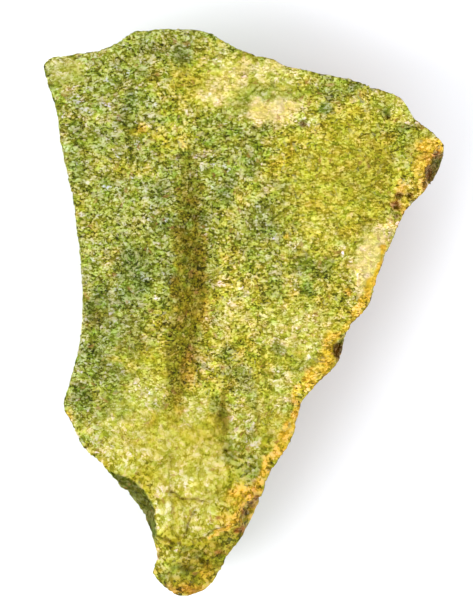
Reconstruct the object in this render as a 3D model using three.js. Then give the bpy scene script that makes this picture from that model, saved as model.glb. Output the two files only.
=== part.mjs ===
// A rough slab of nephrite jade, one broken stone lying on its back with its broad fracture face up.
// Millimetres, +Z up. The origin is the middle of the bounding box's underside, where the stone rests.
// +Y runs along the stone, away from its narrow tip.
import * as THREE from "three";
import { ImprovedNoise } from "three/addons/math/ImprovedNoise.js";

// Driving dimensions
const FACE_HEIGHT = 22; // the broad face above the surface that the stone rests on
const CELL = 1.7; // the spacing of the grid that the surface is found on
const RIM_ROUNDING = 0.35; // the edge between the broad face and the walls
const MARGIN = 2 * CELL; // the grid reaches this far past the stone
const JADE_COLOUR = 0xa9a552;
const JADE_ROUGHNESS = 0.55;

// The outline seen from above, clockwise from the top left corner: x, y, and how far the wall
// has drawn in where it meets the resting surface.
const OUTLINE = [
  [-30.0, 36.6, 4.0], [-29.6, 37.8, 4.5], [-28.5, 38.5, 5.0], [-25.4, 38.8, 5.5],
  [-21.9, 39.5, 6.0], [-19.4, 40.4, 6.5], [-17.7, 41.6, 7.0], [-16.5, 42.2, 7.5],
  [-14.1, 42.5, 8.0], [-11.1, 42.6, 8.0], [-7.2, 42.4, 7.5], [-5.1, 42.0, 7.0],
  [-3.5, 41.1, 6.0], [-1.2, 39.5, 5.0], [1.7, 38.4, 4.5], [4.4, 37.8, 4.0],
  [6.5, 36.9, 3.5], [9.6, 36.4, 3.5], [12.2, 35.6, 4.0], [15.9, 34.9, 4.5],
  [18.9, 34.1, 5.0], [22.8, 32.6, 5.5], [24.3, 31.2, 5.5], [25.2, 29.3, 5.5],
  [26.3, 27.9, 6.0], [28.5, 26.1, 7.0], [29.7, 24.9, 7.5], [30.0, 24.0, 7.5],
  [29.6, 21.9, 7.0], [28.7, 19.8, 6.0], [27.0, 17.9, 5.0], [24.8, 15.5, 4.0],
  [23.4, 13.7, 3.5], [22.1, 10.4, 3.0], [20.4, 6.6, 3.0], [19.2, 2.6, 3.0],
  [18.0, 0.5, 3.5], [16.1, -2.1, 4.0], [15.0, -3.9, 4.5], [14.7, -6.0, 4.5],
  [13.7, -8.0, 4.0], [10.2, -11.1, 3.0], [8.6, -13.4, 2.5], [7.8, -16.2, 2.5],
  [7.2, -18.8, 3.0], [5.0, -22.2, 3.0], [3.2, -24.6, 2.5], [2.6, -27.6, 2.5],
  [1.2, -31.1, 2.5], [-0.6, -34.1, 2.5], [-2.3, -36.0, 2.5], [-3.6, -38.7, 3.0],
  [-5.4, -41.0, 3.5], [-7.5, -42.2, 4.0], [-9.6, -42.3, 4.0], [-11.7, -41.3, 3.5],
  [-13.4, -39.6, 3.0], [-13.8, -38.7, 2.5], [-13.2, -36.9, 2.0], [-13.2, -35.1, 1.5],
  [-14.1, -32.4, 1.0], [-15.5, -29.6, 1.0], [-17.7, -26.9, 1.0], [-20.1, -23.9, 1.0],
  [-21.3, -22.4, 1.5], [-23.4, -20.7, 2.0], [-24.6, -19.2, 2.5], [-25.7, -16.7, 3.0],
  [-26.9, -14.6, 3.5], [-26.9, -13.2, 3.5], [-26.0, -11.1, 3.0], [-25.2, -7.5, 2.5],
  [-24.5, -3.5, 2.0], [-24.2, 2.6, 2.0], [-24.6, 9.3, 2.0], [-25.2, 15.9, 2.0],
  [-26.0, 18.0, 2.0], [-26.9, 22.4, 2.5], [-27.6, 25.8, 3.0], [-28.2, 30.3, 3.5],
  [-29.1, 33.6, 4.0],
];
const OUTLINE_STEPS = 4; // straight pieces that the curve takes between two points

// The long groove down the broad face: y, x of its bottom, width of its steep west side, depth.
const GROOVE = [
  [27.0, -7.3, 1.2, 0.0],
  [22.0, -7.4, 1.6, 1.0],
  [16.8, -6.8, 3.2, 2.0],
  [9.3, -5.1, 5.6, 3.0],
  [1.8, -5.7, 5.2, 3.1],
  [-5.0, -6.2, 5.0, 2.6],
  [-12.5, -8.7, 3.2, 1.5],
  [-18.0, -11.5, 2.0, 0.0],
];
const GROOVE_EAST = 11; // the gentle east side climbs back over this width

// The edge where the face steps down to the narrow tip, x and y, and how the tip falls away.
const TIP_EDGE = [
  [-15.0, -33.4], [-13.1, -33.9], [-10.2, -35.1], [-9.0, -34.4], [-7.4, -33.6],
  [-5.1, -32.9], [-2.9, -32.3], [0.6, -31.1], [3.0, -30.4],
];
const TIP_STEP = 0.9;
const TIP_SLOPE = 0.5;
const TIP_LOWEST = 6; // the face falls no further than this below its main height

// Hollows in the broad face, and swells where the depth is negative.
const HOLLOWS = [
  { at: [-19.0, 6.0], size: [4.5, 7.0], depth: 0.8 }, // west plateau
  { at: [-14.5, 29.0], size: [7.0, 4.0], depth: 0.6 }, // below the north hump
  { at: [-11.5, 39.5], size: [5.0, 3.0], depth: -0.6 }, // north hump
  { at: [-2.0, 18.5], size: [2.2, 7.0], depth: 0.7 }, // beside the head of the groove
  { at: [9.0, 7.0], size: [6.5, 5.0], depth: 0.9 }, // middle of the east bench
  { at: [5.0, 29.5], size: [6.0, 2.6], depth: -0.5 }, // pale north swell
  { at: [14.0, 22.0], size: [8.0, 6.0], depth: -0.6 }, // east shoulder
  { at: [-0.5, -9.5], size: [2.2, 4.0], depth: 0.9 }, // small dark pocket
  { at: [-2.8, -17.5], size: [1.2, 4.5], depth: 0.9 }, // short southern groove
  { at: [2.5, -16.0], size: [1.6, 6.0], depth: -0.5 }, // rib east of it
  { at: [-24.5, -12.6], size: [3.6, 1.6], depth: 1.0 }, // notch at the west corner
  { at: [-20.0, -18.0], size: [4.5, 3.0], depth: -0.5 }, // pale swell below the notch
  { at: [-12.3, -26.0], size: [1.4, 7.0], depth: -0.5 }, // southern column
  { at: [-7.5, -31.0], size: [2.0, 3.5], depth: 0.8 }, // wedge above the tip
  { at: [23.5, 16.5], size: [2.2, 2.0], depth: 0.8 }, // pitted east edge
];

// Steep bowls struck off the rim of the face, by centre, half axes and depth at the centre.
// The wall below them still reaches the outline.
const RIM_SCARS = [
  { at: [-20.9, -32.4], size: [8.2, 8.2], depth: 8.0 }, // concave south-west flank
  { at: [36.5, 18.5], size: [9.6, 10.0], depth: 12.0 }, // under the east corner
  { at: [20.0, -5.6], size: [6.7, 4.5], depth: 8.0 }, // east nick
  { at: [2.1, -30.4], size: [3.1, 3.1], depth: 4.5 }, // east side above the tip
];
const SCAR_FLOOR = 8; // no rim scar reaches further below the face than this

// Flake scars in the walls: ellipsoids struck off them, by centre and half axes.
const WALL_SCARS = [
  { at: [31.0, 0.0, 6.0], size: [13.5, 12.0, 8.5] }, // undercut on the east wall
  { at: [8.0, 47.0, 7.0], size: [14.0, 11.0, 8.0] }, // undercut on the north wall
  { at: [-20.0, 50.5, 10.0], size: [11.0, 11.0, 7.0] }, // second north undercut
  { at: [-35.5, 20.0, 8.0], size: [10.5, 15.0, 7.0] }, // west wall, upper
  { at: [-33.0, -8.0, 5.0], size: [10.0, 9.0, 8.0] }, // west wall, lower
  { at: [-3.0, -50.0, 2.0], size: [9.0, 11.0, 7.0] }, // under the tip
  { at: [16.0, -19.0, 3.0], size: [10.0, 9.0, 8.0] }, // south-east wall
];

// Large flat breaks on the underside: outward normal, and a point on the break.
const UNDER_BREAKS = [
  { normal: [0.1, 0.62, -0.78], at: [0, 30.0, 0] },
  { normal: [0.72, 0.1, -0.69], at: [18.0, 14.0, 0] },
  { normal: [-0.62, -0.25, -0.74], at: [-21.0, 0.0, 0] },
  { normal: [0.2, -0.5, -0.84], at: [-6.0, -31.0, 0] },
];
const UNDERSIDE_SHARE = -0.25; // below zero leaves more of the underside flat
const UNDERSIDE_RELIEF = 1.1;

// Angular facets left by breaking, and the finer unevenness
const FACET_SIZE = 9;
const FACET_TILT = 0.42;
const FACET_CRISPNESS = 0.3; // larger gives sharper creases between the facets
const FACE_FACETS = 0.3; // the facets' share on the broad face
const SWELL = { length: 9, height: 0.5 };
const LUMPS = { length: 4.6, height: 0.3 };

const perlin = new ImprovedNoise();

const clamp01 = (v) => THREE.MathUtils.clamp(v, 0, 1);

function noiseAt(x, y, z, { length, height }) {
  return height * perlin.noise(x / length + 31.7, y / length + 17.3, z / length + 5.1);
}

// Larger of two values, with the crease between them rounded over a width r.
function roundedMax(a, b, r) {
  const h = Math.max(r - Math.abs(a - b), 0) / r;
  return Math.max(a, b) + (h * h * r) / 4;
}

// A fixed pseudo-random number from 0 to 1 for each grid cell.
function hash(i, j, k, salt) {
  const v = Math.sin(i * 127.1 + j * 311.7 + k * 74.7 + salt * 53.3) * 43758.5453;
  return v - Math.floor(v);
}

// Values of a table's columns at a place between its rows, whose first column falls or rises.
function tableAt(rows, at) {
  const falling = rows[0][0] > rows[rows.length - 1][0];
  for (let i = 1; i < rows.length; i++) {
    const [a, b] = [rows[i - 1], rows[i]];
    if (falling ? at < b[0] : at > b[0]) continue;
    const t = clamp01((at - a[0]) / (b[0] - a[0]));
    return a.map((v, column) => v + (b[column] - v) * t);
  }
  return rows[rows.length - 1];
}

// The outline as a closed chain of short segments. Each carries its wall's lean.
function outlineSegments() {
  const points = OUTLINE.map(([x, y, lean]) => new THREE.Vector3(x, y, lean));
  const curve = new THREE.CatmullRomCurve3(points, true, "centripetal");
  const chain = curve.getPoints(OUTLINE.length * OUTLINE_STEPS);
  return chain.slice(1).map((end, i) => ({ start: chain[i], end }));
}
const SEGMENTS = outlineSegments();

// Signed distance to the outline, negative inside, and the nearest wall's lean.
function outlineAt(x, y) {
  let nearest = Infinity;
  let lean = 0;
  let inside = false;
  for (const { start, end } of SEGMENTS) {
    const dx = end.x - start.x;
    const dy = end.y - start.y;
    const t = clamp01(((x - start.x) * dx + (y - start.y) * dy) / (dx * dx + dy * dy));
    const gap = Math.hypot(x - start.x - dx * t, y - start.y - dy * t);
    if (gap < nearest) {
      nearest = gap;
      lean = start.z + (end.z - start.z) * t;
    }
    const crosses = start.y > y !== end.y > y;
    if (crosses && x < start.x + (dx * (y - start.y)) / dy) inside = !inside;
  }
  return { distance: inside ? -nearest : nearest, lean };
}

// Tilted planes, one to a jittered grid cell, that meet in creases: from about -1 to 1.
function brokenFacets(x, y, z) {
  const cell = [x, y, z].map((v) => Math.floor(v / FACET_SIZE));
  let sum = 0;
  let weights = 0;
  for (let i = cell[0] - 1; i <= cell[0] + 1; i++) {
    for (let j = cell[1] - 1; j <= cell[1] + 1; j++) {
      for (let k = cell[2] - 1; k <= cell[2] + 1; k++) {
        const dx = x - (i + hash(i, j, k, 1)) * FACET_SIZE;
        const dy = y - (j + hash(i, j, k, 2)) * FACET_SIZE;
        const dz = z - (k + hash(i, j, k, 3)) * FACET_SIZE;
        const weight = Math.exp(-FACET_CRISPNESS * (dx * dx + dy * dy + dz * dz));
        const tilt =
          dx * (hash(i, j, k, 4) - 0.5) + dy * (hash(i, j, k, 5) - 0.5) + dz * (hash(i, j, k, 6) - 0.5);
        sum += weight * (tilt * FACET_TILT + hash(i, j, k, 7) - 0.5);
        weights += weight;
      }
    }
  }
  return weights > 0 ? sum / weights : 0;
}

// Depth of the long groove: a steep west side, and a gentle one climbing to the east.
function grooveDepth(x, y) {
  const [, bottom, width, depth] = tableAt(GROOVE, y);
  const east = x - bottom;
  const share = east < 0 ? 1 + east / width : 1 - east / GROOVE_EAST;
  return depth * THREE.MathUtils.smoothstep(share, 0, 1);
}

function tipDrop(x, y) {
  const beyond = tableAt(TIP_EDGE, x)[1] - y;
  const step = TIP_STEP * THREE.MathUtils.smoothstep(beyond, -0.4, 0.6);
  return Math.min(step + TIP_SLOPE * Math.max(beyond, 0), TIP_LOWEST);
}

function hollowDepth(x, y) {
  return HOLLOWS.reduce((sum, { at, size, depth }) => {
    const away = ((x - at[0]) / size[0]) ** 2 + ((y - at[1]) / size[1]) ** 2;
    return sum + depth * Math.exp(-away);
  }, 0);
}

function rimScarDepth(x, y) {
  const deepest = RIM_SCARS.reduce((depth, { at, size, depth: middle }) => {
    const away = ((x - at[0]) / size[0]) ** 2 + ((y - at[1]) / size[1]) ** 2;
    return Math.max(depth, middle * (1 - away));
  }, 0);
  return Math.min(deepest, SCAR_FLOOR);
}

// Height of the broad face above the resting surface.
function faceHeight(x, y) {
  const uneven = noiseAt(x, y, 0, SWELL) + noiseAt(x, y, 9, LUMPS);
  const facets = FACE_FACETS * brokenFacets(x, y, FACE_HEIGHT);
  const lowered = grooveDepth(x, y) + tipDrop(x, y) + hollowDepth(x, y) + rimScarDepth(x, y);
  return FACE_HEIGHT + uneven + facets - lowered;
}

// Below zero inside the stone: the wall, the face, the scars and the underside in turn.
function field(x, y, z) {
  const { distance, lean } = outlineAt(x, y);
  if (distance > MARGIN + CELL) return distance;
  const top = faceHeight(x, y);
  const facets = brokenFacets(x, y, z);
  const uneven = noiseAt(x, y, z, SWELL) + noiseAt(x, y, z, LUMPS);
  const belowRim = THREE.MathUtils.smoothstep(top - z, 0.6, 3.5);
  const drawnIn = lean * Math.pow(clamp01(1 - z / top), 1.3);
  const wall = distance + drawnIn + belowRim * (0.7 + facets + uneven);
  let inside = roundedMax(wall, z - top, RIM_ROUNDING);

  for (const { at, size } of WALL_SCARS) {
    const reach = Math.hypot((x - at[0]) / size[0], (y - at[1]) / size[1], (z - at[2]) / size[2]);
    const scar = (1 - reach) * Math.min(...size) + 0.25 * facets;
    inside = roundedMax(inside, scar, RIM_ROUNDING);
  }
  for (const { normal, at } of UNDER_BREAKS) {
    const out = normal[0] * (x - at[0]) + normal[1] * (y - at[1]) + normal[2] * (z - at[2]);
    inside = roundedMax(inside, out + 0.8 * facets + uneven, RIM_ROUNDING);
  }
  const under = UNDERSIDE_RELIEF * (UNDERSIDE_SHARE + brokenFacets(x, y, -FACET_SIZE)) - z;
  return Math.max(inside, under, -z);
}

// The grid that the surface is found on. Its levels miss the resting surface, at z = 0.
const GRID = {
  low: [-30 - MARGIN, -43 - MARGIN, -1.6 * CELL],
  count: [60 + 2 * MARGIN, 86 + 2 * MARGIN, FACE_HEIGHT + 6].map((span) => Math.ceil(span / CELL) + 1),
};
const gridPoint = (i, j, k) => [i, j, k].map((n, axis) => GRID.low[axis] + n * CELL);
const gridIndex = (i, j, k) => (k * GRID.count[1] + j) * GRID.count[0] + i;

// Field values at every grid point.
function sampleField() {
  const values = new Float64Array(GRID.count[0] * GRID.count[1] * GRID.count[2]);
  for (let k = 0; k < GRID.count[2]; k++)
    for (let j = 0; j < GRID.count[1]; j++)
      for (let i = 0; i < GRID.count[0]; i++) values[gridIndex(i, j, k)] = field(...gridPoint(i, j, k));
  return values;
}

// A grid square whose diagonals differ in sign would give an edge shared by four faces. Its value
// nearest to zero changes sign, until no such square is left.
function untangle(values) {
  const steps = [[1, 0, 0], [0, 1, 0], [0, 0, 1]];
  let changed = true;
  while (changed) {
    changed = false;
    for (let k = 0; k < GRID.count[2] - 1; k++) {
      for (let j = 0; j < GRID.count[1] - 1; j++) {
        for (let i = 0; i < GRID.count[0] - 1; i++) {
          for (let axis = 0; axis < 3; axis++) {
            const [u, v] = [steps[axis], steps[(axis + 1) % 3]];
            const corners = [[0, 0], [1, 0], [1, 1], [0, 1]].map(([a, b]) =>
              gridIndex(i + a * u[0] + b * v[0], j + a * u[1] + b * v[1], k + a * u[2] + b * v[2]),
            );
            const inside = corners.map((corner) => values[corner] < 0);
            if (inside[0] !== inside[2] || inside[1] !== inside[3] || inside[0] === inside[1]) continue;
            const weakest = corners.reduce((a, b) => (Math.abs(values[b]) < Math.abs(values[a]) ? b : a));
            values[weakest] = values[weakest] < 0 ? 1e-6 : -1e-6;
            changed = true;
          }
        }
      }
    }
  }
}

// Where the surface crosses a grid edge, found by halving, and its normal there.
function crossingOn(start, end, startValue) {
  const low = new THREE.Vector3(...start);
  const high = new THREE.Vector3(...end);
  const middle = new THREE.Vector3();
  for (let n = 0; n < 12; n++) {
    middle.addVectors(low, high).multiplyScalar(0.5);
    if (field(middle.x, middle.y, middle.z) < 0 === startValue < 0) low.copy(middle);
    else high.copy(middle);
  }
  const { x, y, z } = middle;
  const d = 0.08;
  const normal = new THREE.Vector3(
    field(x + d, y, z) - field(x - d, y, z),
    field(x, y + d, z) - field(x, y - d, z),
    field(x, y, z + d) - field(x, y, z - d),
  ).normalize();
  return { point: middle, normal };
}

// The point nearest to all the planes that cross a cell, so that edges and corners stay sharp.
function cellVertex(crossings, cell) {
  const mean = new THREE.Vector3();
  for (const { point } of crossings) mean.addScaledVector(point, 1 / crossings.length);
  const steady = 0.1; // holds the point near the mean along directions that the planes leave free
  const sums = [steady, 0, 0, 0, steady, 0, 0, 0, steady];
  const pull = new THREE.Vector3();
  for (const { point, normal } of crossings) {
    const n = normal.toArray();
    for (let r = 0; r < 3; r++) for (let c = 0; c < 3; c++) sums[3 * r + c] += n[r] * n[c];
    pull.addScaledVector(normal, normal.dot(point.clone().sub(mean)));
  }
  const vertex = pull.applyMatrix3(new THREE.Matrix3(...sums).invert()).add(mean);
  const low = new THREE.Vector3(...gridPoint(...cell));
  return vertex.clamp(low, low.clone().addScalar(CELL));
}

// Dual contouring: a vertex in each cell that the surface crosses, and a quad across each crossed edge.
function surfaceGeometry() {
  const values = sampleField();
  untangle(values);
  const cells = new Map();
  const quads = [];
  const steps = [[1, 0, 0], [0, 1, 0], [0, 0, 1]];
  for (let k = 1; k < GRID.count[2] - 1; k++) {
    for (let j = 1; j < GRID.count[1] - 1; j++) {
      for (let i = 1; i < GRID.count[0] - 1; i++) {
        const here = [i, j, k];
        const value = values[gridIndex(...here)];
        steps.forEach((step, axis) => {
          const there = here.map((n, a) => n + step[a]);
          if (value < 0 === values[gridIndex(...there)] < 0) return;
          const crossing = crossingOn(gridPoint(...here), gridPoint(...there), value);
          const [u, v] = [steps[(axis + 1) % 3], steps[(axis + 2) % 3]];
          const around = [[0, 0], [1, 0], [1, 1], [0, 1]].map(([a, b]) =>
            here.map((n, d) => n - a * u[d] - b * v[d]),
          );
          for (const cell of around) {
            const key = gridIndex(...cell);
            if (!cells.has(key)) cells.set(key, { cell, crossings: [] });
            cells.get(key).crossings.push(crossing);
          }
          const corners = around.map((cell) => gridIndex(...cell));
          quads.push(value < 0 ? corners : corners.reverse());
        });
      }
    }
  }

  const vertices = [...cells.values()].map(({ cell, crossings }) => cellVertex(crossings, cell));
  const numbers = new Map([...cells.keys()].map((key, n) => [key, n]));
  for (const v of vertices) if (v.z < 0.02) v.z = 0;
  const faces = quads.flatMap((quad) => {
    const [a, b, c, d] = quad.map((key) => numbers.get(key));
    const shortWay = vertices[a].distanceTo(vertices[c]) < vertices[b].distanceTo(vertices[d]);
    return shortWay ? [a, b, c, a, c, d] : [b, c, d, b, d, a];
  });
  return new THREE.BufferGeometry().setFromPoints(vertices).setIndex(faces);
}

// The stone, moved so that the origin is the middle of its bounding box's underside.
function nephriteSlab() {
  const geometry = surfaceGeometry();
  geometry.computeBoundingBox();
  const middle = geometry.boundingBox.getCenter(new THREE.Vector3());
  geometry.translate(-middle.x, -middle.y, 0);
  geometry.computeVertexNormals();
  const material = new THREE.MeshStandardMaterial({
    color: JADE_COLOUR,
    roughness: JADE_ROUGHNESS,
    metalness: 0,
  });
  const mesh = new THREE.Mesh(geometry, material);
  mesh.name = "nephrite_slab";
  return mesh;
}

const stone = new THREE.Group();
stone.add(nephriteSlab());

export default stone;
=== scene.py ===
"""A rough slab of nephrite jade on a pale floor, seen from straight above.

The CAD stone is meshed finely and fitted to its outline. Then it gets the relief of a grainy
fracture, with pits, cracks and ledges. Masks on the mesh mark where the stone is yellow, pale,
green, tan, olive, rusty, golden, brown or shaded; the shade, and part of the olive down the long
groove, is painted shade. One material colours its grains by them, with shade painted in the gaps
between some grains and a painted glint on a few flecks.
"""

import math

import bmesh
import bpy
import numpy as np
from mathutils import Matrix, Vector, noise
from mathutils.bvhtree import BVHTree
from mathutils.kdtree import KDTree


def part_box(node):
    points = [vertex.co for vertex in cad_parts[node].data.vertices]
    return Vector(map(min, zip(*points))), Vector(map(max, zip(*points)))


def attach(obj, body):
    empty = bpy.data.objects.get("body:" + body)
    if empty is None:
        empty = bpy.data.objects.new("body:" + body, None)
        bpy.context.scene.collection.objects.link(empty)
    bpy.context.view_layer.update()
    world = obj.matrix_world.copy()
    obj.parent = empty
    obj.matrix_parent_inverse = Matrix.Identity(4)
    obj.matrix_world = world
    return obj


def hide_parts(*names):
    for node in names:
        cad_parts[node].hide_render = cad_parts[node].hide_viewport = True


MM = 0.001

# The surface mesh
VOXEL = 0.52 * MM
FACE_LEVEL = 0.5  # a normal's z above this belongs to the broad face, which is meshed twice as fine
FACE_BOTTOM = 12 * MM  # the broad face lies above this height
EDGE_SMOOTHING = [0.5, -0.52] * 6  # passes that even out edges, each followed by one that swells back
FACE_SMOOTHING = [0.6] * 14  # passes that even out the heights of the broad face
WALL_TOP = 8.0  # in mm, everything up to this height is wall
SMOOTHED_RISE = 0.12  # a normal's z from which the surface is smoothed as the broad face is
COLOURED_RISE = 0.05  # and from which it is grained and coloured as the broad face is

# Layers of fine relief: height and length of the bumps in mm, and the seed of their places
FACE_GRAINS = [(0.10, 1.2, 17), (0.06, 0.7, 19)]
WALL_HACKLES = [(0.12, 2.4, 23), (0.06, 1.1, 27)]
SWELLS = (0.08, 2.2, 13)
SCAR_SMOOTHNESS = 0.4  # share by which grains are lower in the bowls struck off the rim
RELIEF_STRENGTH = np.array([0.5, 0.5, 1.0])  # along x, y and z
RELIEF_FOOT = 0.8  # the relief fades out over this height above the floor, in mm
FLOOR_HOLD = 0.5  # and the smoothing over this one
SOLE = 0.3  # what is lower than this is drawn down towards the floor

# The outline seen from above, clockwise from the top left corner, in mm
OUTLINE = [
    (-30.0, 36.6), (-29.5, 37.7), (-28.4, 38.3), (-25.4, 38.7), (-21.8, 39.3), (-19.4, 40.3),
    (-17.6, 41.4), (-16.4, 42.0), (-14.1, 42.3), (-11.1, 42.5), (-7.2, 42.3), (-5.1, 41.9),
    (-3.6, 41.0), (-1.1, 39.6), (1.7, 38.5), (4.4, 37.9), (6.5, 36.9), (9.6, 36.3),
    (12.2, 35.6), (15.9, 35.0), (18.8, 33.9), (22.8, 32.6), (24.3, 31.2), (25.4, 29.3),
    (26.8, 28.0), (28.9, 26.4), (30.0, 25.1), (30.1, 24.0), (29.5, 21.9), (28.5, 19.9),
    (26.9, 18.0), (24.6, 15.7), (23.4, 13.7), (22.1, 10.4), (20.4, 6.6), (19.2, 2.6),
    (18.2, 0.4), (16.0, -2.0), (15.1, -4.0), (14.6, -6.0), (13.7, -8.0), (10.4, -11.4),
    (8.7, -13.5), (7.9, -16.2), (7.2, -18.8), (5.1, -22.3), (3.5, -24.8), (2.6, -27.6),
    (1.1, -31.0), (-0.6, -34.1), (-2.2, -36.1), (-3.6, -38.7), (-5.2, -41.1), (-7.4, -42.4),
    (-9.6, -42.6), (-11.8, -41.5), (-13.4, -39.6), (-13.6, -38.7), (-13.0, -36.9), (-13.2, -35.1),
    (-14.1, -32.5), (-15.5, -29.6), (-18.0, -26.7), (-20.2, -24.1), (-21.4, -22.5), (-23.5, -20.9),
    (-24.6, -19.2), (-25.8, -16.8), (-26.9, -14.6), (-26.9, -13.2), (-26.2, -11.0), (-25.3, -7.5),
    (-24.5, -3.5), (-24.2, 2.6), (-24.7, 9.3), (-25.5, 15.9), (-25.8, 18.0), (-26.9, 22.4),
    (-27.5, 25.8), (-28.1, 30.3), (-29.2, 33.6),
]
OUTLINE_STEPS = 8  # places on the curve from one point to the next
OUTLINE_REACH = 4.0  # the fit to the outline fades away over this distance from it, in mm
OUTLINE_HOLD = 0.5  # and is whole up to this distance
EDGE_GRAIN = 0.08  # how far the grains of the edge stand out from the outline, in mm

# Edges on the stone wander in bends and nicks: the size and length of each, in mm
WANDER = [(0.9, 2.6), (0.6, 0.9)]

# How far each kind of edge follows them
CRACK_WANDER = 0.35
EDGE_WANDER = 0.3
BAND_WANDER = 0.9
PATCH_WANDER = 1.5
SHARP_PATCHES = ("gold", "brown", "shade")  # the patches that wander only as edges do

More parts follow.
